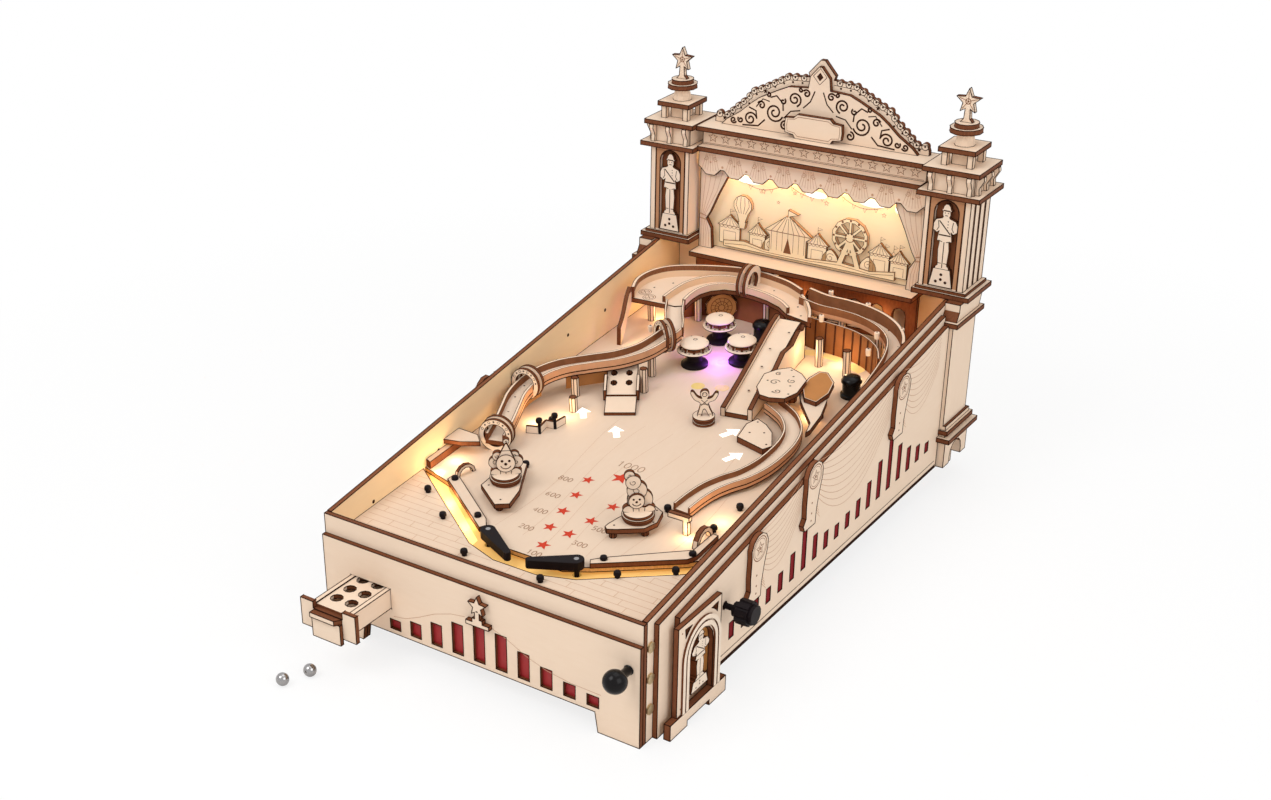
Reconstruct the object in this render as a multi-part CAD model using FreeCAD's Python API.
"""Tabletop bagatelle game: a plywood cabinet with a sloping board, tracks, flippers and a stage."""
import FreeCAD, Part
import math
import os

V = FreeCAD.Vector

# ---------------------------------------------------------------- driving dimensions (mm)
PLY = 3.0                 # sheet thickness of every cut board
FRONT_Y = -168.9          # row position of the cabinet's front face
WALL_IN = 107.8           # inner face of the side walls, from the middle
WALL_OUT = WALL_IN + PLY
LAYER_OUT = WALL_OUT + PLY
DRAPE_OUT = LAYER_OUT + 3.2
RIM_Z = 77.5              # top of the front wall
WALL_RISE = 0.142         # rise of the side walls' top edge, per mm of depth
WALL_END = 372.0          # depth at which the stage box starts
BACK_Y = 403.0            # rear face of the cabinet
UNDER_Z = 13.0            # lower edge of the boards between the feet
TILT = 3.947              # slope of the playing board, degrees
BOARD_Z = 61.6            # height of the board's top face at the front
BOARD_END = 371.0
LANE_X = 95.6             # left side of the shooting lane
BALL_R = 4.0
RING_THICK = 2.0          # sheet of the track's rings
RING_SIDES = 10
SHAFT_R = 1.5             # flipper shafts
PIN_R = 1.2               # crank pins under them
COGS = 9                  # ribs round a button's knob
FIT = 0.05                # running clearance, radial
CLEAR = 0.6               # free hole round a shaft, radial

GROOVE_Z = 64.5           # top of the proud front panel
SLOT_PITCH = 15.4
SLOT_WIDE = 7.8
SLOT_LOW = 16.0
SLOT_MID = 3.7            # middle of the front's slot row
SLOT_TOPS = [22.7, 26.0, 31.0, 36.6, 41.5, 39.9, 33.6, 29.1, 25.0, 23.2]

DRAWER_OUT = 38.0         # how far the drawer stands out
DRAWER_X0 = -90.4
DRAWER_X1 = -60.7
DRAWER_Z0 = 30.0
DRAWER_Z1 = 43.0

PLUNGER_X = 103.6
PLUNGER_Z = 49.0
PLUNGER_R = 2.0
KNOB_R = 6.9
KNOB_Y = -16.8

BUTTON_Y = 75.0
BUTTON_Z = 53.5
BUTTON_R = 1.8
BUTTON_TRAVEL = 6.0

FLIP_X = 31.0             # flipper pivots, either side of FLIP_MID
FLIP_MID = 5.5
FLIP_Y = 47.5
FLIP_LONG = 27.0
FLIP_REST = 30.0          # degrees below the cross line at rest
CRANK_R = 7.1
CRANK_REST = 25.0

PILLAR_X = 102.2          # middle of the column shafts
PILLAR_Y = 391.0
PILLAR_LOW = 15.0         # the lower pillars end level with the drape boards
STAGE_HALF = 84.3         # half width between the columns' bases

RAD = math.pi / 180.0
SIN = math.sin(TILT * RAD)
COS = math.cos(TILT * RAD)


# ---------------------------------------------------------------- shape helpers
def box(x0, x1, y0, y1, z0, z1):
    return Part.makeBox(x1 - x0, y1 - y0, z1 - z0, V(x0, y0, z0))


def prism(corners, way):
    return Part.Face(Part.makePolygon(corners + [corners[0]])).extrude(way)


def plate(points, low, high):
    """Flat board from its plan outline."""
    return prism([V(x, y, low) for x, y in points], V(0, 0, high - low))


def side_board(points, x0, x1):
    """Upright board along the depth, from its (y, z) outline."""
    return prism([V(x0, y, z) for y, z in points], V(x1 - x0, 0, 0))


def front_board(points, y0, y1):
    """Upright board across the front, from its (x, z) outline."""
    return prism([V(x, y0, z) for x, z in points], V(0, y1 - y0, 0))


def skin(loops):
    """Closed solid through a row of matching outlines, in flat facets."""
    faces = [Part.Face(Part.makePolygon(edge + edge[:1])) for edge in (loops[0], loops[-1])]
    count = len(loops[0])
    for lower, upper in zip(loops, loops[1:]):
        for k in range(count):
            a, b = lower[k], lower[(k + 1) % count]
            c, d = upper[(k + 1) % count], upper[k]
            level = abs((b - a).cross(d - a).dot(c - a)) < 1e-6
            for corners in ([[a, b, c, d]] if level else [[a, b, c], [a, c, d]]):
                faces.append(Part.Face(Part.makePolygon(corners + corners[:1])))
    shell = Part.makeShell(faces)
    shell.sewShape()
    solid = Part.makeSolid(shell)
    if solid.Volume < 0:
        solid.reverse()
    return solid


def ring_points(centre, r, sides, u, v):
    """Corners of a regular outline round a centre, in the plane of u and v."""
    turns = [2 * math.pi * (k + 0.5) / sides for k in range(sides)]
    reach = r / math.sqrt(math.cos(math.pi / sides))
    return [centre + u * (reach * math.cos(t)) + v * (reach * math.sin(t)) for t in turns]


def disc(x, y, low, high, r, sides=12):
    """Small round piece standing on a level, in flat facets."""
    ring = ring_points(V(x, y, low), r, sides, V(1, 0, 0), V(0, 1, 0))
    return prism(ring, V(0, 0, high - low))


def rod(start, end, r, sides=12):
    """Small round piece between two points, in flat facets."""
    way = end - start
    u = V(0, 0, 1).cross(way) if abs(way.z) < 0.9 * way.Length else V(1, 0, 0).cross(way)
    u.normalize()
    v = V(way.x, way.y, way.z).normalize().cross(u)
    return prism(ring_points(start, r, sides, u, v), way)


def shaft(start, end, r):
    """True round shaft or bore, for pieces that run in each other."""
    return Part.makeCylinder(r, (end - start).Length, start, end - start)


def turned_solid(profile, base, axis, sides):
    """Turned piece from (radius, height) points along an axis."""
    u = V(0, 0, 1).cross(axis) if abs(axis.z) < 0.9 else V(1, 0, 0)
    u.normalize()
    v = axis.cross(u)
    return skin([ring_points(base + axis * h, max(r, 0.05), sides, u, v) for r, h in profile])


def globe(centre, r, sides=12, bands=6):
    """Ball in flat facets."""
    turns = [math.pi * k / bands for k in range(bands + 1)]
    profile = [(r * math.sin(t), -r * math.cos(t)) for t in turns]
    return turned_solid(profile, centre, V(0, 0, 1), sides)


def join(shapes):
    whole = shapes[0]
    if len(shapes) > 1:
        whole = whole.fuse(shapes[1:])
    return whole.removeSplitter()


def group(shapes):
    return Part.makeCompound(shapes)


def flip(shape):
    """Mirror image on the other side of the cabinet."""
    return shape.mirror(V(0, 0, 0), V(1, 0, 0))


def both(shape):
    """A piece and its mirror image."""
    return group([shape, flip(shape)])


def two_sided(half):
    """Closed outline from its right half, given from bottom to top."""
    return half + [(-a, b) for a, b in reversed(half)]


def star(x, z, r, inner=0.45):
    """Five-pointed star outline, point up."""
    points = []
    for k in range(10):
        reach = r if k % 2 == 0 else r * inner
        turn = (90 + 36 * k) * RAD
        points.append((x + reach * math.cos(turn), z + reach * math.sin(turn)))
    return points


def arc_points(x, z, r, start, end, count):
    turns = [start + (end - start) * k / count for k in range(count + 1)]
    return [(x + r * math.cos(t * RAD), z + r * math.sin(t * RAD)) for t in turns]


def arch(x0, x1, z0, z1, steps=7):
    """Upright opening with a round head."""
    r = (x1 - x0) / 2
    return [(x0, z0), (x1, z0)] + arc_points(x0 + r, z1 - r, r, 0, 180, steps)


# ---------------------------------------------------------------- the sloping board's frame
def spot(x, y, h=0.0):
    """Point over the board: x across, y level depth, h square to the board."""
    return V(x, (y + h * SIN) / COS, h)


def on_slope(shape):
    placed = shape.copy()
    placed.rotate(V(0, 0, 0), V(1, 0, 0), TILT)
    placed.translate(V(0, 0, BOARD_Z))
    return placed


def board_z(y):
    return BOARD_Z + y * SIN / COS


def patch(points, low, high):
    """Flat piece lying along the board, from its plan outline."""
    return plate([(spot(x, y, low).x, spot(x, y, low).y) for x, y in points], low, high)


def post(x, y, low, high, r, sides=7):
    at = spot(x, y, low)
    return disc(at.x, at.y, low, high, r, sides)


def bore(x, y, low, high, r):
    """Round hole square to the board, placed where it meets the board's face."""
    at = spot(x, y)
    return shaft(V(at.x, at.y, low), V(at.x, at.y, high), r)


def smooth(points, steps=3):
    """Even curve through the given points."""
    knots = [spot(*p) for p in points]
    curve = []
    for i in range(len(knots) - 1):
        a, b = knots[max(i - 1, 0)], knots[i]
        c, d = knots[i + 1], knots[min(i + 2, len(knots) - 1)]
        for k in range(steps):
            t = k / steps
            pull = (c - a) * t + (a * 2 - b * 5 + c * 4 - d) * t * t + (b * 3 - a - c * 3 + d) * t ** 3
            curve.append(b + pull * 0.5)
    curve.append(knots[-1])
    return curve


def ribbon(path, left, right, low, high):
    """Strip along a path, from one side offset to the other and from low to high over it."""
    frames = []
    for i, p in enumerate(path):
        ahead = path[min(i + 1, len(path) - 1)] - path[max(i - 1, 0)]
        across = V(-ahead.y, ahead.x, 0).normalize()
        a, b = p + across * left, p + across * right
        down, up = V(0, 0, low), V(0, 0, high)
        frames.append([a + down, b + down, b + up, a + up])
    return skin(frames)


def rails(path, half, wide, low, high):
    """The two side strips of a track."""
    return [ribbon(path, half, half - wide, low, high), ribbon(path, wide - half, -half, low, high)]


def hoop(x, y, h, heading, outer, inner, gap):
    """Two upright rings round a track, square to its heading."""
    way = V(math.cos(heading * RAD), math.sin(heading * RAD), 0)
    rings = []
    for side in (-1, 1):
        base = spot(x, y, h) + way * (side * gap / 2 - RING_THICK / 2)
        ring = rod(base, base + way * RING_THICK, outer, RING_SIDES)
        rings.append(ring.cut(rod(base, base + way * RING_THICK, inner, RING_SIDES)))
    return rings


# ---------------------------------------------------------------- cabinet
def wall_top(y):
    return RIM_Z + WALL_RISE * y


def foot_line(width, foot):
    """Right half of a board's lower edge with a foot at its end."""
    return [(width - foot - 2, UNDER_Z), (width - foot, 0), (width, 0)]


def front_outline(top):
    return two_sided([(0, UNDER_Z)] + foot_line(WALL_OUT, 26.8) + [(WALL_OUT, top), (0, top)])


def front_holes(y0, y1):
    slack = 0.5
    return box(DRAWER_X0 - slack, DRAWER_X1 + slack, y0, y1, DRAWER_Z0 - slack, DRAWER_Z1 + slack)


def on_plunger(y):
    return V(PLUNGER_X, y, PLUNGER_Z)


def front_rim_wall():
    bush = shaft(on_plunger(0), on_plunger(PLY), PLUNGER_R + FIT)
    return front_board(front_outline(RIM_Z), 0, PLY).cut([front_holes(0, PLY), bush])


def slot_row(y0, y1):
    """Row of slots in the front panel, tallest in the middle."""
    slots = []
    for k, top in enumerate(SLOT_TOPS):
        x = SLOT_MID + SLOT_PITCH * (k - 4)
        slots.append(box(x - SLOT_WIDE / 2, x + SLOT_WIDE / 2, y0, y1, SLOT_LOW, top))
    return slots


def front_panel():
    sheet = front_board(front_outline(GROOVE_Z), -PLY, 0)
    free = rod(on_plunger(-PLY), on_plunger(0), PLUNGER_R + CLEAR, 12)
    return sheet.cut([front_holes(-PLY, 0), free] + slot_row(-PLY, 0))


def front_slot_inlays():
    """Red strips let into the front panel's slots."""
    return group(slot_row(-1.0, 0))


def front_emblem():
    """Star on a stem and foot, laid on the front panel."""
    stem = [(8, 42), (8, 44.5), (3.5, 44.5), (3.5, 47), (1.6, 47), (1.6, 52)]
    base = front_board([(x + 5, z) for x, z in two_sided(stem)], -2 * PLY, -PLY)
    return join([base, front_board(star(5, 55.2, 6.4), -2 * PLY, -PLY)])


REAR_FOOT = 394.0         # depth at which a rear foot starts


def side_outline(front, end, drop, low):
    return [(front, low), (front, wall_top(front) - drop), (end, wall_top(end) - drop), (end, low)]


def footed(front, end, drop):
    """Side board outline on a front foot, and on a rear one where it reaches that far."""
    rear = [(REAR_FOOT, 0), (REAR_FOOT - 2, UNDER_Z)] if end > REAR_FOOT else []
    corner = 0 if rear else UNDER_Z
    low = rear + [(77, UNDER_Z), (75, 0)]
    return [(front, 0), (front, wall_top(front) - drop), (end, wall_top(end) - drop), (end, corner)] + low


def on_button(x):
    return V(x, BUTTON_Y, BUTTON_Z)


def free_hole(x0, x1):
    """Faceted hole that clears a button's shaft."""
    return rod(on_button(x0), on_button(x1), BUTTON_R + CLEAR, 12)


def side_wall():
    edge = footed(PLY, BACK_Y, 0)
    edge[2:3] = [(WALL_END, wall_top(WALL_END)), (WALL_END, 131), (BACK_Y, 131)]
    bush = shaft(on_button(WALL_IN), on_button(WALL_OUT), BUTTON_R + FIT)
    return side_board(edge, WALL_IN, WALL_OUT).cut(bush)


def wall_layer():
    return side_board(footed(10, 361, 5), WALL_OUT, LAYER_OUT).cut(free_hole(WALL_OUT, LAYER_OUT))


SIDE_TOPS = [38.4, 38.0, 38.2, 38.6, 41.6, 47.5, 56.7, 46.7, 42.1, 40.2, 41.6, 44.2, 50.2, 58.6, 69.2, 58.1,
             50.2, 45.1, 41.2]
SIDE_PITCH = 14.38
SIDE_FIRST = 83.66
SIDE_WIDE = 5.4
SIDE_LOW = 27.6           # foot of the first slot
SIDE_CLIMB = 0.35         # rise of the feet from slot to slot


def side_slots(x0, x1):
    """Row of slots under the drape, rising to a peak below each medallion."""
    slots = []
    for k, top in enumerate(SIDE_TOPS):
        y = SIDE_FIRST + SIDE_PITCH * k
        slots.append(box(x0, x1, y - SIDE_WIDE / 2, y + SIDE_WIDE / 2, SIDE_LOW + SIDE_CLIMB * k, top))
    return slots


def drape_panel():
    outline = side_outline(26, 361, 10.5, 15)
    niche = side_board(arch(31, 65, 16, 55.5), LAYER_OUT, DRAPE_OUT)
    cuts = [niche, free_hole(LAYER_OUT, DRAPE_OUT)] + side_slots(LAYER_OUT, DRAPE_OUT)
    return side_board(outline, LAYER_OUT, DRAPE_OUT).cut(cuts)


SHIELDS = [(105, 84.5), (170, 101.5), (287, 112)]
LEFT_DROP = 4.5           # the left wall's medallions stay below its top edge


def shield(y, top):
    """Medallion on a post that gathers the drape."""
    r = 9.5
    foot = top - 42
    left = [(y - 9, foot + 4), (y - 7, foot), (y + 6, foot), (y + 6.5, foot + 9), (y + 9, foot + 20)]
    body = left + arc_points(y + 3, top - r, r, -20, 200, 7) + [(y - 6.5, foot + 16), (y - 6, foot + 8)]
    return side_board(body, DRAPE_OUT, DRAPE_OUT + PLY)


def side_shields(drop):
    return group([shield(y, top - drop) for y, top in SHIELDS])


def corner_arch():
    """Arched frame and its plinth over the niche at the front corner."""
    frame = side_board([(20, 10), (65.6, 10), (65.6, 67.4), (20, 67.4)], DRAPE_OUT, DRAPE_OUT + PLY)
    opening = side_board(arch(31, 58, 9, 55.5), DRAPE_OUT, DRAPE_OUT + PLY)
    hood = arc_points(44.5, 44, 22, 40, 62, 4) + [(62, 64)]
    corner = side_board(hood, DRAPE_OUT, DRAPE_OUT + PLY)
    hood = [(89 - y, z) for y, z in hood]
    other = side_board(hood, DRAPE_OUT, DRAPE_OUT + PLY)
    plinth = side_board([(12, 0), (72, 0), (72, 10), (12, 10)], DRAPE_OUT, DRAPE_OUT + PLY + 1)
    return join([frame.cut([opening, corner, other]), plinth.cut(box(117, 122, 30, 54, 0, 3.5))])


def nut_column():
    """Three round nuts up the front corner."""
    return [rod(V(WALL_OUT, 8.4 - 2.2, z), V(WALL_OUT + 1.2, 8.4 - 2.2, z), 3.2, 8) for z in (21, 41, 61)]


def cross_brace(y):
    top = board_z(y - PLY) - PLY / COS
    reach = LANE_X - 4
    arch_low = two_sided([(0, 40), (60, 40), (70, 30), (70, UNDER_Z), (WALL_IN, UNDER_Z), (WALL_IN, 40),
                          (reach, 48), (reach, top), (0, top)])
    return front_board(arch_low, y - PLY, y)


def rear_wall():
    upper = [(WALL_IN, 131), (STAGE_HALF, 131), (STAGE_HALF, 198), (0, 198)]
    half = [(0, UNDER_Z)] + foot_line(WALL_IN, 22) + upper
    return front_board(two_sided(half), BACK_Y - PLY, BACK_Y)


# ---------------------------------------------------------------- sloping board
def channel_side(x):
    """Front edge of the drain channel: a shallow V about the flippers' middle."""
    off = abs(x - FLIP_MID)
    return 30.1 if off < 15 else max(30.1 + (off - 15) * 0.324, 10.3 + off * 0.714)


def guide_side(off):
    return 25.2 + off * 0.700


def apron_board():
    """Raised sheet in front of the drain channel."""
    xs = [-WALL_IN, FLIP_MID - 37.5, FLIP_MID - 15, FLIP_MID + 15, FLIP_MID + 37.5, WALL_IN]
    edge = [(x, channel_side(x)) for x in xs]
    front = PLY + 0.25
    sheet = patch([(-WALL_IN, front)] + edge + [(WALL_IN, front)], -PLY, 0)
    return on_slope(sheet)


def drain_channel():
    """Lower floor of the channel between the apron and the board."""
    low, high = -8.0, -5.0
    xs = [-WALL_IN, FLIP_MID - 37.5, FLIP_MID - 15, FLIP_MID + 15, FLIP_MID + 37.5, LANE_X - 0.5]
    front = [(x, channel_side(x) - 4) for x in xs]
    back = [(LANE_X - 0.5, 102), (FLIP_MID + 34, 56), (FLIP_MID - 34, 56), (-WALL_IN, 112)]
    floor = patch(front + back, low, high)
    mids = [spot(FLIP_MID + s * FLIP_X, FLIP_Y) for s in (-1, 1)]
    return on_slope(floor.cut([disc(m.x, m.y, low, high, SHAFT_R + 2 * CLEAR, 12) for m in mids]))


def playing_board():
    """Main board behind the channel, with the shooting lane cut away at the right."""
    lip = [(-WALL_IN, guide_side(FLIP_MID + 92)), (FLIP_MID - 85, guide_side(85)),
           (FLIP_MID - 38, guide_side(38)), (FLIP_MID - 24, 44), (FLIP_MID + 24, 44),
           (FLIP_MID + 38, guide_side(38)), (FLIP_MID + 83, guide_side(83)), (LANE_X, 92)]
    sheet = patch(lip + [(LANE_X, BOARD_END), (-WALL_IN, BOARD_END)], -PLY, 0)
    shafts = [bore(FLIP_MID + s * FLIP_X, FLIP_Y, -PLY, 0, SHAFT_R + FIT) for s in (-1, 1)]
    return on_slope(sheet.cut(shafts))


def lane_guides():
    """Strips that lead the ball to the flippers."""
    left = [(-83.5, 84.9), (-34, 50.2), (-31.5, 54), (-36, 60), (-78, 90), (-83, 90)]
    right = [(43.5, 51), (88.5, 82.3), (91, 88), (91, 112), (87.5, 112), (86.5, 92), (47, 60.5),
             (41.5, 54.5)]
    wall = [(-WALL_IN, 95), (-103.5, 93), (-103.5, 128), (-WALL_IN, 133)]
    ledge = [(-WALL_IN, 113), (-96.2, 115.7), (-85.6, 121.6), (-92, 128), (-WALL_IN, 129)]
    return on_slope(group([patch(left, 0, PLY), patch(right, 0, PLY), patch(wall, 0, 5),
                           patch(ledge, 7, 7 + PLY)]))


PEG_SPOTS = [(-88, 70.4), (88, 70.4), (-61.7, 51.1), (61.7, 51.1), (-26.8, 25.5), (26.8, 25.5),
             (-52.2, 124.3), (50.3, 123.9), (86.1, 146), (84.4, 118.5), (-69.5, 178.2)]
PEG_R = 2.25
PEG_HIGH = 4.6
GUIDE_PEGS = [(-79.5, 87), (88.6, 87.8), (-41.9, 59.7), (47.7, 58.8)]


def pegs():
    tall = [post(x, y, 0, PEG_HIGH, PEG_R) for x, y in PEG_SPOTS]
    return on_slope(group(tall + [post(x, y, PLY, PLY + 2.6, PEG_R) for x, y in GUIDE_PEGS]))


# ---------------------------------------------------------------- tracks
S_PATH = [(-46, 289, 20), (-46.5, 272, 20), (-49.5, 256, 19.5), (-59, 241, 18.5), (-74, 229.5, 17),
          (-88, 218, 15.5), (-95.5, 204, 14.5), (-97, 190, 13.5), (-95, 175, 12.5), (-89.5, 160, 11.2),
          (-84.5, 146, 9.5), (-80.5, 131, 7.5)]
S_HALF = 6.7


def s_line():
    return smooth(S_PATH, 2)


def s_track_deck():
    return on_slope(ribbon(s_line(), S_HALF, -S_HALF, -PLY, 0))


def s_track_rails():
    return on_slope(group(rails(s_line(), S_HALF, 2.0, 0, 4.5)))


HOOPS = [(-46.5, 279, 22.5, 54), (-96.6, 190, 17, 90), (-82, 135, 10.5, 104), (-30, 362, 31, 0)]


def track_hoops(decks):
    """Double rings that the ball runs through, slotted over the tracks."""
    outers = [11, 10.6, 11, 11.5]
    rings = []
    for (x, y, h, heading), outer in zip(HOOPS, outers):
        rings += hoop(x, y, h, heading, outer, outer - 3, 5)
    return group([on_slope(r).cut(decks) for r in rings])


LOOP_OUT = [(-94, 312), (-98.5, 325), (-98, 338), (-93, 349), (-85, 357), (-72, 364), (-57, 370),
            (-43, 374), (-28, 375), (-15, 373), (-1, 369), (12, 362)]
LOOP_IN = [(12, 338), (3, 345), (-9, 350), (-21, 352.5), (-35, 353.5), (-43, 352), (-50, 346), (-54, 338),
           (-55, 328), (-54, 318)]
LOOP_MID = [(-70, 316), (-70, 328), (-68, 343), (-61, 356), (-51, 363.5), (-40, 365.5)]
PLATEAU_OUT = [(12, 362), (20, 354), (28, 343), (33, 333)]
LOOP_H = 26.0


def loop_deck():
    """Crescent sheet round the back of the board, over its posts."""
    edge = LOOP_OUT + PLATEAU_OUT[1:] + LOOP_IN + [(-60, 314)]
    return on_slope(patch(edge, LOOP_H - PLY, LOOP_H))


def at_height(points, h):
    return [(x, y, h) for x, y in points]


def loop_rails():
    """Outer, middle and inner strips that make the loop's lanes."""
    outer = ribbon(smooth(at_height(LOOP_OUT, LOOP_H), 1), 0, -2.4, 0, 8)
    plateau = ribbon(smooth(at_height(PLATEAU_OUT, LOOP_H), 1), 0, -2.4, 0, 4.5)
    middle = ribbon(smooth(at_height(LOOP_MID, LOOP_H), 1), 1.2, -1.2, 0, 4.5)
    inner = ribbon(smooth(at_height(LOOP_IN, LOOP_H), 1), 0, -2.4, 0, 4.5)
    leg = ribbon(smooth([(-90.5, 291, 6), (-91.5, 297, 12), (-94, 306, 22), (-95, 311.5, 27)], 2), 1.5,
                 -1.5, -6, 7)
    return on_slope(group([outer.fuse(plateau), middle, inner, leg]))


TONGUE = [(-61, 316.5, LOOP_H), (-57, 308, 24), (-50, 297, 21), (-46.3, 290, 20)]


def ahead_of(path, wide, long, high):
    """Block over everything beyond a path's first point."""
    ahead = V(path[1].x - path[0].x, path[1].y - path[0].y, 0).normalize()
    across = V(-ahead.y, ahead.x, 0) * wide
    near, far = V(path[0].x, path[0].y, 0), V(path[0].x, path[0].y, 0) + ahead * long
    return prism([near + across, near - across, far - across, far + across], V(0, 0, high))


def transfer_tongue(loop):
    """Sloping chute from the loop down to the first hoop, ended square to the curved track."""
    path = smooth(TONGUE, 2)
    half, edge = S_HALF - 0.1, 1.4
    deck = ribbon(path, half - edge + 0.1, edge - half - 0.1, 0.1 - PLY, -0.1)
    sides = rails(path, half, edge, 0.2 - PLY, 3.9)
    beyond = ahead_of(s_line(), 20, 30, 60)
    return on_slope(join([deck] + sides).cut(beyond)).cut(loop)


LANE_PATH = [(13.8, 361.2, 26), (30, 356.5, 26), (45, 356, 26), (61, 353.5, 26), (77, 346.5, 26),
             (90, 336, 25.5),
             (98.5, 321, 24.5),
             (101.6, 300, 20), (101.6, 250, 9), (101.6, 190, -3), (101.6, 100, -20.5),
             (101.6, 84, -22.3)]


def plunger_lane(loop):
    """Trough that climbs the right wall and turns across the back."""
    path = smooth(LANE_PATH, 2)
    return on_slope(ribbon(path, 5.8, -5.8, -PLY, 0)).cut(loop)


def plunger_lane_rails(loop):
    path = smooth(LANE_PATH, 2)
    outer = on_slope(ribbon(path[:13], 5.8, 3.4, 0, 8)).cut(loop)
    inner = on_slope(ribbon(path, -4.4, -5.8, 0, 5)).cut(loop)
    return group([outer, inner])


ROCK_HALF = 7.6
ROCK_PATH = [(30.5, 240, 3.2), (26.5, 268, 9), (23, 296, 17), (19.8, 322, 24.5), (19, 331, LOOP_H)]


def rock_ramp():
    return on_slope(ribbon(smooth(ROCK_PATH, 2), ROCK_HALF, -ROCK_HALF, -PLY, 0))


def beside(path, offset):
    """Line on the board that keeps an offset from a path."""
    line = []
    for i, p in enumerate(path):
        ahead = path[min(i + 1, len(path) - 1)] - path[max(i - 1, 0)]
        line.append(V(p.x, p.y, 0) + V(-ahead.y, ahead.x, 0).normalize() * offset)
    return line


def upright_strip(line, tops, wide):
    """Thin standing strip from the board to a varying top."""
    frames = []
    for i, p in enumerate(line):
        ahead = line[min(i + 1, len(line) - 1)] - line[max(i - 1, 0)]
        across = V(-ahead.y, ahead.x, 0).normalize() * (wide / 2)
        a, b, up = p + across, p - across, V(0, 0, tops[i])
        frames.append([a, b, b + up, a + up])
    return skin(frames)


def rock_walls():
    """Straight board under the ramp's left side and a broken one on its right."""
    path = smooth(ROCK_PATH, 2)
    off = ROCK_HALF + PLY / 2
    left = upright_strip(beside(path, off), [p.z + 3 for p in path], PLY)
    crags = [8, 12, 15.5, 15, 21, 19, 24, 22, 25]
    right = upright_strip(beside(path, -off), crags, PLY)
    return on_slope(group([left, right]))


CAVE_TOP = [(38, 251.5), (34, 268.9), (38.7, 278.3), (44.8, 284.2), (55, 279.8), (61.5, 273.7), (64, 256.4),
            (60.7, 246),
            (51.7, 242.5), (44.6, 243.2)]
CAVE_SIDE = [(60, 268), (64, 285), (72, 282), (80, 266), (85.5, 247), (88, 228), (87.2, 224), (84, 236),
             (74, 248), (66, 258)]
CAVE_ROUND = [(68.6, 257.4), (60, 271), (58.8, 282.3), (60.6, 293), (66.2, 294), (75.5, 284.2), (79, 269.9),
              (77.4, 256)]
CAVE_STEP = [(46, 214), (43, 231), (46, 240), (54, 236), (62, 229), (70, 214), (67, 208)]


def rock_plates():
    """Layered sheets of the rocks and their stumps."""
    top = patch(CAVE_TOP, 16, 16 + PLY)
    side = patch(CAVE_SIDE, 10, 10 + PLY)
    crest = patch(CAVE_ROUND, 10 + PLY, 10 + 2 * PLY)
    step = patch(CAVE_STEP, 0, 4)
    stumps = [post(52, 262, 0, 16, 3), post(50, 277, 0, 16, 3), post(75, 265, 0, 10, 3),
              post(67, 280, 0, 10, 3)]
    return on_slope(group([join([top, stumps[0], stumps[1]]), join([side, stumps[2], stumps[3], crest]),
                           step]))


WAVE_PATH = [(49.3, 252, 8), (59, 246.5, 8), (68, 239.5, 8), (76.5, 228, 7.6), (80.5, 214, 7.2),
             (81, 200, 6.6), (79.5, 185, 6), (75, 170.5, 5.4), (68.5, 160, 4.8), (63.5, 149, 4.2),
             (60.8, 137, 3.6), (59.6, 124, 3.2)]
WAVE_HALF = 5.9


def wavy_track():
    return on_slope(ribbon(smooth(WAVE_PATH, 1), WAVE_HALF, -WAVE_HALF, -PLY, 0))


def wavy_rails():
    return on_slope(group(rails(smooth(WAVE_PATH, 1), WAVE_HALF, 1.5, 0, 3.6)))


def gate():
    """T-shaped board before the wavy track's end and an arch beside the right guide."""
    bar = front_board([(61, 9.5), (71, 9.5), (71, 0), (74, 0), (74, 9.5), (75, 9.5), (75, 12.5),
                       (61, 12.5)], 107, 110)
    span = [(106.5 + a, b) for a, b in arc_points(0, 0, 9.3, 0, 180, 6) + arc_points(0, 0, 6.6, 180, 0, 6)]
    hoops = side_board(span, 82.8, 85.8)
    left = side_board([(a - 106.5, b) for a, b in span], -1.5, 1.5)
    left.scale(0.75)
    left.rotate(V(0, 0, 0), V(0, 0, 1), -19.3)
    left.translate(spot(-81, 99.4))
    back = rod(spot(-48, 357, 10.9), spot(-46.2, 354.6, 10.9), 11, RING_SIDES)
    return [bar, hoops, left, back]


def straight_ramp():
    """Hinged-looking ramp: a flat flap, then a steeper sheet with four holes."""
    flap = ribbon([spot(-36.5, 207.5, 1.2), spot(-45.5, 223.5, 3.2)], 10, -10, -1.2, 0.8)
    sheet = ribbon([spot(-45.5, 223.5, 3.2), spot(-57.5, 244.5, 12.5)], 10, -10, -1.2, 1.8)
    ears = rails([spot(-45.5, 223.5, 3.2), spot(-52, 235, 8)], 11.6, 1.8, -2, 5)
    across = V(0.869, 0.494, 0)
    holes = []
    for t in (0.42, 0.75):
        for side in (-1, 1):
            x, y = -45.5 - 12 * t + across.x * 5 * side, 223.5 + 21 * t + across.y * 5 * side
            holes.append(post(x, y, -2, 20, 2))
    return on_slope(join([flap, sheet.cut(holes)] + ears))


POST_R = 2.4
POSTS = [(-76.4, 216, 12.2), (-39.7, 242.3, 15.8), (-91, 335, LOOP_H - PLY), (-62, 350, LOOP_H - PLY),
         (-14, 361, LOOP_H - PLY), (4, 356, LOOP_H - PLY), (22, 338, LOOP_H - PLY), (45, 356, LOOP_H - PLY),
         (77, 346, LOOP_H - PLY), (-93.5, 172, 9.5), (-47, 264, 16.5), (68, 240, 4.6), (80, 206, 3.6),
         (-66, 198, 9), (43, 328, 19), (65, 324, 17)]


def lane_posts(decks):
    """Round pillars that carry the tracks and the small gates, trimmed to the sheets they meet."""
    posts = [post(x, y, 0, top + 1.5, POST_R) for x, y, top in POSTS]
    return group([on_slope(p).cut(decks) for p in posts + gate()])


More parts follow.
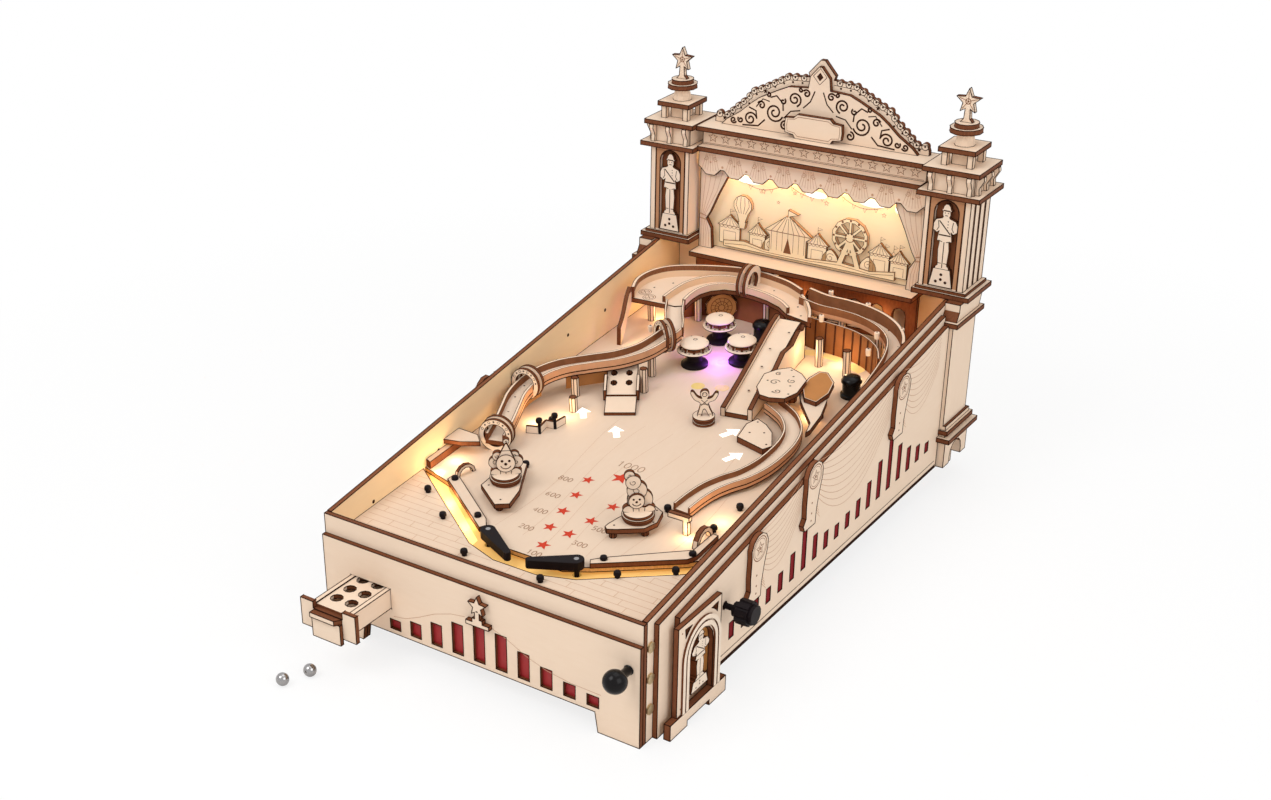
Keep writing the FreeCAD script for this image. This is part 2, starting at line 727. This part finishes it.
# ---------------------------------------------------------------- toys on the board
BUMPERS = [(-30, 291), (-33, 330), (-4, 309)]
TURNED_SIDES = 10


def turned(profile, x, y):
    """Turned piece square to the board."""
    return turned_solid(profile, spot(x, y), V(0, 0, 1), TURNED_SIDES)


def bumper_bases():
    profile = [(8, 0), (8, 2.5), (5, 3.2), (5, 10.5)]
    return on_slope(group([turned(profile, x, y) for x, y in BUMPERS]))


def bumper_caps():
    profile = [(10, 10.5), (11.5, 12), (10.5, 13.5), (7.5, 14.2), (7.5, 16.5), (3.5, 18.5)]
    return on_slope(group([turned(profile, x, y) for x, y in BUMPERS]))


def slingshots():
    """Low plates under the two clowns, on short studs."""
    left = patch([(-57, 84), (-37, 70), (-29.5, 75), (-33, 90), (-47, 118), (-53, 118), (-58, 104)], 4, 7)
    right = patch([(35.5, 80.5), (40.5, 83), (54, 92), (57, 101), (54, 112), (46, 116), (39, 110),
                   (36, 100),
                   (33.2, 86), (33.2, 82.5)], 4, 7)
    left_studs = [post(x, y, 0, 4, 2) for x, y in [(-52, 88), (-38, 76), (-50, 112)]]
    right_studs = [post(x, y, 0, 4, 2) for x, y in [(37, 84.9), (52, 96), (46, 110)]]
    return on_slope(group([join([left] + left_studs), join([right] + right_studs)]))


def bust(x, y, size):
    """Clown's head and ruff: three upright slices on a round foot."""
    head = arc_points(0, 15, 5.2, -60, 240, 8)
    hair = arc_points(5.6, 16.5, 2.6, -120, 120, 5)
    half = [(0, 3), (8, 3), (9, 6), (7, 9), (4, 9.5)]
    ruff = two_sided(half)
    lobe = [(-a, b) for a, b in hair]
    slices = [front_board(ruff, -1.5, 1.5), front_board(head, -1.5, 1.5), front_board(hair, -1.5, 1.5)]
    profile = [(-7, 3), (7, 3), (6, 8), (3, 13), (-3, 13), (-6, 8)]
    slices += [front_board(lobe, -1.5, 1.5), side_board(profile, -1.5, 1.5)]
    hat = front_board([(-3.5, 19.5), (3.5, 19.5), (0, 25)], -1.5, 1.5)
    whole = join(slices + [hat, disc(0, 0, 0, 3, 8.5)])
    whole.scale(size)
    at = spot(x, y, 7)
    whole.translate(at)
    return whole


def busts():
    return on_slope(group([bust(-47, 96, 1.05), bust(45, 100, 1.2)]))


def acrobat():
    """Small figure balancing on a drum."""
    drum = disc(0, 0, 0, 4.5, 7)
    body = [(-4.5, 4.5), (-2, 4.5), (0, 8), (2, 4.5), (4.5, 4.5), (2, 11), (2.4, 14), (6.5, 17.5), (5.5, 18.5),
            (1.6, 15.6), (-1.6, 15.6), (-5.5, 18.5), (-6.5, 17.5), (-2.4, 14), (-2, 11)]
    head = rod(V(0, -1.5, 17.4), V(0, 1.5, 17.4), 2.4)
    whole = join([drum, front_board(body, -1.5, 1.5), head])
    whole.rotate(V(0, 0, 0), V(0, 0, 1), 25)
    whole.translate(spot(15, 226, 0))
    return on_slope(whole)


def dark_drums():
    profile = [(7, 0), (5.8, 2.6), (5.8, 10), (6.6, 11), (5, 14), (1, 15)]
    return on_slope(group([turned(profile, x, y) for x, y in [(-8, 344), (80, 301)]]))


# ---------------------------------------------------------------- stage box
def base_plate():
    return join([box(84.3, 123.5, 371.7, 409, 131, 134), box(86, 120.5, 373.3, 407, 134, 136)])


def column_shaft():
    """Square shaft with a niche in front and fluted boards on its outer side."""
    core = box(87.3, 114.8, 375, 406, 136, 198)
    niche = front_board(arch(94, 110.4, 137, 195.7), 375, 378)
    flutes = [box(114.8, 117.8, y, y + 6.4, 136, 198) for y in (375, 383.2, 391.4, 399.6)]
    return join([core.cut(niche)] + flutes)


def statue(height, thick, girth):
    """Guardsman cut from sheet, slimmer or broader by its girth."""
    half = [(0.03, 0), (0.09, 0), (0.085, 0.06), (0.06, 0.3), (0.085, 0.45), (0.075, 0.56), (0.12, 0.5),
            (0.15, 0.53), (0.13, 0.72), (0.07, 0.79), (0.03, 0.8), (0.05, 0.83), (0.05, 0.89),
            (0.065, 0.9), (0.05, 1.0)]
    return front_board([(x * height * girth, z * height) for x, z in two_sided(half)], 0, thick)


def stand(low_half, high_half, height, thick):
    return front_board(two_sided([(low_half, 0), (high_half, height)]), 0, thick)


def column_statue():
    figure = statue(44, 2.6, 1.15)
    figure.translate(V(PILLAR_X, 375.4, 149.2))
    block = stand(7.8, 5.6, 12, 2.6)
    block.translate(V(PILLAR_X, 375.4, 137.2))
    return join([figure, block])


def corner_statue():
    figure = statue(31, 2.4, 1.3)
    block = stand(7, 5, 6.5, 2.4)
    figure.translate(V(0, 0, 6.5))
    whole = join([figure, block])
    whole.rotate(V(0, 0, 0), V(0, 0, 1), 90)
    whole.translate(V(LAYER_OUT + 2.4, 44.5, 16.2))
    return whole


def capital():
    """Two square caps with a bracketed frieze between them."""
    low = box(82.3, 124.4, 371, 409, 198, 201)
    frieze = box(87.5, 118.5, 376, 406, 201, 213.5)
    high = box(84, 122.3, 372.5, 408, 213.5, 216.5)
    scroll = [(0, 201), (0, 213.5), (-4.6, 213.5), (-5, 211), (-2, 205.5), (-2.4, 201)]
    brackets = [side_board([(376 + y, z) for y, z in scroll], x, x + PLY) for x in (88.5, 101.4, 114.5)]
    outs = [front_board([(118.5 - x, z) for x, z in scroll], y, y + PLY) for y in (378, 390, 401)]
    return join([low, frieze, high] + brackets + outs)


def finial():
    """Arched posts, a square cap, a turned cone and a star on a stem."""
    x, y = PILLAR_X + 1.0, PILLAR_Y
    ends = [(-8.5, -8.5), (8.5, -8.5), (8.5, 8.5), (-8.5, 8.5)]
    posts = [box(x + a - 1.8, x + a + 1.8, y + b - 1.8, y + b + 1.8, 216.5, 225.5) for a, b in ends]
    core = box(x - 5.5, x + 5.5, y - 5.5, y + 5.5, 216.5, 225.5)
    cap = box(x - 12.3, x + 12.3, y - 12.3, y + 12.3, 225.5, 228.5)
    cone = turned_solid([(6.4, 228.5), (4.8, 237)], V(x, y, 0), V(0, 0, 1), 10)
    discs = [disc(x, y, 237, 240, 10.2), disc(x, y, 240, 243, 7.6)]
    stem = front_board([(x - 4, 243), (x + 4, 243), (x + 2, 245.5), (x + 1.5, 254), (x - 1.5, 254),
                        (x - 2, 245.5)],
                       y - 1.5, y + 1.5)
    point = front_board(star(x, 256.5, 8.2), y - 1.5, y + 1.5)
    return join(posts + [core, cap, cone] + discs + [stem, point])


def lower_pillar():
    """Plinth, shaft and bracket below the column, outside the cabinet wall."""
    x = WALL_OUT
    trunk = box(x, 119.6, 361.2, 397, 45, 118)
    bracket = side_board([(361.2, 118), (397, 118), (402, 131), (366, 131), (366, 126)], x, 121)
    cap = box(x, 123, 359.5, 402, 117, 120)
    rims = [box(x, 126, 358, 404, 35, 38), box(x, 123.4, 360, 401, 40, 43),
            box(x, 121.5, 361.2, 399, 38, 46)]
    foot = box(x, 122, 362, 398, PILLAR_LOW, 35).cut(side_board(arch(371, 390, 0, 29, 6), x, 122))
    return join([trunk, bracket, cap, foot] + rims).cut([wall_layer(), drape_panel()])


def cornice():
    """Entablature across the stage."""
    low = box(-82.3, 82.3, 377, 402.9, 198.7, 201.7)
    band = box(-82.3, 82.3, 385, 391, 201.7, 212.5)
    top = box(-84, 84, 378, 402.9, 212.5, 215.5)
    return join([low, band, top])


PEDIMENT = [(8.8, 255.7), (17.4, 254.8), (25.3, 254.3), (30.1, 251.3), (44.1, 243.7), (51.1, 240.5),
            (54.9, 234.8), (64.4, 226.7), (70.4, 221.2), (76.9, 222.3), (78.4, 218.3), (78.4, 215.5)]


def pediment():
    """Scrolled gable: a back sheet with a smaller scalloped sheet in front."""
    back = front_board(two_sided(PEDIMENT[::-1] + [(9.7, 258.5), (1.5, 267.8)]), 395, 398)
    inner = [(72, 215.5), (68, 219.5), (58, 226), (50, 233), (44, 237.5), (30, 244.5), (22, 248), (8, 249),
             (7, 257),
             (1, 264)]
    sheet = front_board(two_sided(inner), 392, 395)
    return group([back, sheet])


def cartouche():
    """Bare shaped plate standing on the cornice."""
    half = [(13, 215.5), (14.5, 218), (20.5, 219), (21, 224), (20.5, 229), (14.5, 229.5), (12, 232)]
    return front_board(two_sided(half), 386, 389)


def scene_panel():
    back = box(-STAGE_HALF, STAGE_HALF, 393, 396, 125, 198)
    return join([back, box(-STAGE_HALF, STAGE_HALF, 396, 400, 128, 131)])


def scene_relief():
    """Fairground cut-out in front of the panel: a tent, a wheel and a balloon."""
    tent = [(-30, 131), (-30, 143), (-34, 146), (-18, 158), (-16.6, 158), (-16.6, 163), (-9, 160.5),
            (-15.4, 158.6),
            (-15.4, 158), (2, 146), (-2, 143), (-2, 131)]
    ground = [(-66, 128), (-66, 132), (-50, 134), (-34, 131), (0, 131), (24, 133), (46, 131), (64, 134),
              (64, 128)]
    wheel = rod(V(30, 390, 152), V(30, 393, 152), 13).cut(rod(V(30, 390, 152), V(30, 393, 152), 10.6))
    spokes = []
    for k in range(4):
        bar = box(-12, 12, 390, 393, -0.9, 0.9)
        bar.rotate(V(0, 390, 0), V(0, 1, 0), 45 * k)
        bar.translate(V(30, 0, 152))
        spokes.append(bar)
    legs = front_board([(28.6, 152), (31.4, 152), (39, 131), (35, 131), (30, 146), (25, 131), (21, 131)],
                       390, 393)
    balloon = rod(V(-52, 390, 160), V(-52, 393, 160), 7)
    basket = front_board([(-55, 148), (-49, 148), (-50, 143), (-54, 143)], 390, 393)
    ropes = front_board([(-57, 156), (-47, 156), (-50, 147), (-54, 147)], 390, 393)
    body = join([front_board(tent, 390, 393), front_board(ground, 390, 393), wheel, legs] + spokes)
    return group([body, join([balloon, basket, ropes])])


def curtain():
    """Gathered drape at the side of the stage."""
    folds = [(74, 125), (75, 140), (79, 147), (76, 152), (70, 166), (63, 180), (62, 186)]
    return front_board(folds + [(STAGE_HALF, 186), (STAGE_HALF, 125)], 387, 390)


def stage_front():
    """Shelf, curtains and scalloped valance."""
    shelf = box(-STAGE_HALF, STAGE_HALF, 373.6, 393, 122, 125)
    scallops = [(-STAGE_HALF, 198), (-STAGE_HALF, 186)]
    width = 2 * STAGE_HALF / 9
    for k in range(9):
        x = -STAGE_HALF + width * (k + 0.5)
        scallops += [(x - width * 0.42, 185), (x - width * 0.18, 180.6), (x + width * 0.18, 180.6),
                     (x + width * 0.42, 185)]
    valance = front_board(scallops + [(STAGE_HALF, 186), (STAGE_HALF, 198)], 383.5, 386.5)
    riser = box(-STAGE_HALF, STAGE_HALF, 384, 387, 88, 122)
    arches = [front_board(arch(x - 5, x + 5, 91, 112, 4), 384, 387) for x in range(-72, 73, 16)]
    return shelf, join([curtain()]), valance, riser.cut(arches)


# ---------------------------------------------------------------- moving pieces
def drawer_tray():
    """Ball drawer: perforated top sheet, two sides and a floor."""
    y0, y1 = -DRAWER_OUT, 34.0
    x0, x1 = DRAWER_X0, DRAWER_X1
    top = box(x0 + PLY, x1 - PLY, y0, y1, DRAWER_Z1 - PLY, DRAWER_Z1 - 0.6)
    sides = [box(x0, x0 + PLY, y0, y1, DRAWER_Z0, DRAWER_Z1),
             box(x1 - PLY, x1, y0, y1, DRAWER_Z0, DRAWER_Z1)]
    floor = box(x0 + PLY, x1 - PLY, y0, y1, DRAWER_Z0, DRAWER_Z0 + PLY)
    mid = (x0 + x1) / 2
    cups = [(mid + s * 5.6, -27 + 12 * row) for row in range(3) for s in (-1, 1)]
    holes = [disc(x, y, DRAWER_Z0 + 2 * PLY, DRAWER_Z1, 3.75, 10) for x, y in cups]
    back = box(x0 + PLY, x1 - PLY, y1 - PLY, y1, DRAWER_Z0, DRAWER_Z1)
    return join([top.cut(holes), floor, back] + sides)


def drawer_front():
    """Notched front plate with a tongue and a lower lip."""
    x0, x1 = DRAWER_X0 - 6.5, DRAWER_X1 + 5.0
    y0 = -DRAWER_OUT
    plate_edge = [(x0, 27), (x1, 27), (x1, 45), (x1 - 9.5, 45), (x1 - 9.5, 40.5), (x0 + 9.5, 40.5),
                  (x0 + 9.5, 45), (x0, 45)]
    face = front_board(plate_edge, y0 - PLY, y0)
    tongue = plate([(x0 + 10, y0 - PLY), (x1 - 10, y0 - PLY), (x1 - 13, y0 - 7), (x0 + 10, y0 - 7)], 37, 40)
    lip = front_board([(x0 + 10, 23.5), (x1 - 10, 23.5), (x1 - 10, 37), (x0 + 10, 37)], y0 - PLY - 2.4,
                      y0 - PLY)
    return join([face, tongue, lip])


def plunger():
    """Pull rod with a ball knob and a striking head."""
    rod_y = shaft(on_plunger(KNOB_Y), on_plunger(80), PLUNGER_R)
    knob = globe(on_plunger(KNOB_Y), KNOB_R, 14, 6)
    neck = rod(on_plunger(KNOB_Y), on_plunger(-PLY - 0.4), 3.2, 12)
    head = rod(on_plunger(80), on_plunger(84.5), 2.35, 12)
    return join([rod_y, knob, neck, head])


def flipper(side):
    """Tapered bat on a shaft, with its crank and pin below the board."""
    px, py = FLIP_MID + side * FLIP_X, FLIP_Y
    lean = (180 + FLIP_REST) if side > 0 else -FLIP_REST
    root = spot(px, py, 0)
    reach = V(math.cos(lean * RAD), math.sin(lean * RAD), 0)
    normal = V(-reach.y, reach.x, 0)
    tip = root + reach * FLIP_LONG
    taper = [root + normal * 4.4, root - normal * 4.4, tip - normal * 1.9, tip + normal * 1.9]
    bat = prism([p + V(0, 0, 0.4) for p in taper], V(0, 0, 5.6))
    ends = [disc(root.x, root.y, 0.4, 6, 4.5, 12), disc(tip.x, tip.y, 0.4, 6, 2.0, 8)]
    pivot = shaft(V(root.x, root.y, -12), V(root.x, root.y, 0.4), SHAFT_R)
    turn = (-90 + side * CRANK_REST) * RAD
    pin_at = root + V(math.cos(turn), math.sin(turn), 0) * CRANK_R
    arm_side = V(-math.sin(turn), math.cos(turn), 0) * 2.4
    corners = (root + arm_side, root - arm_side, pin_at - arm_side, pin_at + arm_side)
    arm = prism([p + V(0, 0, -12) for p in corners], V(0, 0, 2.6))
    arm_ends = [disc(root.x, root.y, -12, -9.4, 3, 12), disc(pin_at.x, pin_at.y, -17.5, -12, PIN_R, 12)]
    return on_slope(join([bat, pivot, arm] + ends + arm_ends))


def crank_pin(side):
    """Level position of the crank pin at the pusher's height."""
    root = spot(FLIP_MID + side * FLIP_X, FLIP_Y, 0)
    turn = (-90 + side * CRANK_REST) * RAD
    local = V(root.x + CRANK_R * math.cos(turn), root.y + CRANK_R * math.sin(turn), -15.0)
    return V(local.x, local.y * COS - local.z * SIN, BOARD_Z + local.y * SIN + local.z * COS)


def button(side):
    """Knurled knob on a rod that carries the fork of its flipper."""
    end = 136.5
    teeth = []
    for k in range(COGS):
        step = 360 / COGS
        t0, t1 = step * (k - 0.3) * RAD, step * (k + 0.3) * RAD
        for t, r in ((t0 - 4 * RAD, 6.6), (t0, 7.5), (t1, 7.5), (t1 + 4 * RAD, 6.6)):
            teeth.append((BUTTON_Y + r * math.cos(t), BUTTON_Z + r * math.sin(t)))
    knob = side_board(teeth, 126.5, end - 2.5)
    face = rod(on_button(end - 2.5), on_button(end), 5.8, 12)
    neck = rod(on_button(DRAPE_OUT + BUTTON_TRAVEL + 0.4), on_button(127), 4.4, 12)
    bar_rod = shaft(on_button(64), on_button(127), BUTTON_R)
    pin = crank_pin(side)
    px = abs(pin.x)
    y0, y1 = pin.y - 4.7, pin.y + 4.8
    bar = plate([(px - 3.6, y0), (px + 3.6, y0), (px + 3.6, y0 + 1), (74, BUTTON_Y - 4), (74, BUTTON_Y + 3),
                 (64, BUTTON_Y + 3), (px - 3.6, y1)], pin.z - 1.5, pin.z + 1.5)
    slot = box(px - 1.65, px + 1.65, pin.y - 2.6, pin.y + 2.6, pin.z - 2, pin.z + 2)
    web = box(64, 74, BUTTON_Y - 1.4, BUTTON_Y + 1.4, pin.z + 1.4, BUTTON_Z)
    whole = join([knob, face, neck, bar_rod, bar.cut(slot), web])
    return whole if side > 0 else flip(whole)


def ball(x, y):
    return globe(V(x, y, BALL_R), BALL_R)


# ---------------------------------------------------------------- build
def build():
    pieces = {}
    pieces["front_rim_wall"] = front_rim_wall()
    pieces["front_panel"] = front_panel()
    pieces["slot_inlays"] = front_slot_inlays()
    pieces["wood_ornaments"] = group([front_emblem(), side_shields(0), flip(side_shields(LEFT_DROP))])
    pieces["wall_right"] = side_wall()
    pieces["wall_left"] = flip(side_wall())
    pieces["wall_layers"] = both(wall_layer())
    pieces["drape_panels"] = both(drape_panel())
    pieces["corner_arches"] = both(corner_arch())
    pieces["corner_nuts"] = both(group(nut_column()))
    pieces["rear_wall"] = rear_wall()
    pieces["cross_braces"] = group([cross_brace(150), cross_brace(310)])
    pieces["playing_board"] = playing_board()
    pieces["apron_board"] = apron_board()
    pieces["drain_channel"] = drain_channel()
    pieces["lane_guides"] = lane_guides()
    pieces["pegs"] = pegs()
    pieces["straight_ramp"] = straight_ramp()
    pieces["s_track_deck"] = s_track_deck()
    pieces["s_track_rails"] = s_track_rails()
    pieces["loop_deck"] = loop_deck()
    pieces["loop_rails"] = loop_rails()
    loop = [pieces["loop_deck"], pieces["loop_rails"]]
    pieces["transfer_tongue"] = transfer_tongue(loop)
    pieces["plunger_lane"] = plunger_lane(loop)
    pieces["plunger_lane_rails"] = plunger_lane_rails(loop)
    pieces["rock_ramp"] = rock_ramp()
    pieces["rock_walls"] = rock_walls()
    pieces["rock_plates"] = rock_plates()
    pieces["wavy_track"] = wavy_track()
    pieces["wavy_rails"] = wavy_rails()
    decks = [pieces[n] for n in ("s_track_deck", "s_track_rails", "loop_deck", "loop_rails",
                                 "transfer_tongue",
                                 "plunger_lane", "wavy_track", "playing_board")]
    pieces["track_hoops"] = track_hoops(decks)
    pieces["lane_posts"] = lane_posts(decks)
    pieces["bumper_bases"] = bumper_bases()
    pieces["bumper_caps"] = bumper_caps()
    pieces["slingshots"] = slingshots()
    pieces["busts"] = busts()
    pieces["acrobat"] = acrobat()
    pieces["dark_drums"] = dark_drums()
    pieces["base_plates"] = both(base_plate())
    pieces["column_shafts"] = both(column_shaft())
    pieces["statues"] = both(group([column_statue(), corner_statue()]))
    pieces["capitals"] = both(capital())
    pieces["finials"] = both(finial())
    pieces["lower_pillars"] = both(lower_pillar())
    pieces["cornice"] = cornice()
    pieces["pediment"] = pediment()
    pieces["cartouche"] = cartouche()
    pieces["scene_panel"] = scene_panel()
    pieces["scene_relief"] = scene_relief()
    shelf, drape, valance, riser = stage_front()
    pieces["stage_shelf"] = group([shelf, riser])
    pieces["stage_drapery"] = group([both(drape), valance])
    pieces["drawer_tray"] = drawer_tray()
    pieces["drawer_front"] = drawer_front()
    pieces["plunger"] = plunger()
    pieces["flipper_left"] = flipper(-1)
    pieces["flipper_right"] = flipper(1)
    pieces["button_left"] = button(-1)
    pieces["button_right"] = button(1)
    pieces["ball_1"] = ball(-91.9, -67.2)
    pieces["ball_2"] = ball(-84.8, -51.1)
    return pieces


os.makedirs("parts", exist_ok=True)
for name, shape in build().items():
    placed = shape.copy()
    placed.translate(V(0, FRONT_Y, 0))
    placed.exportStep("parts/" + name + ".step")
    print(name, len(placed.Solids), round(placed.Volume), placed.isValid())
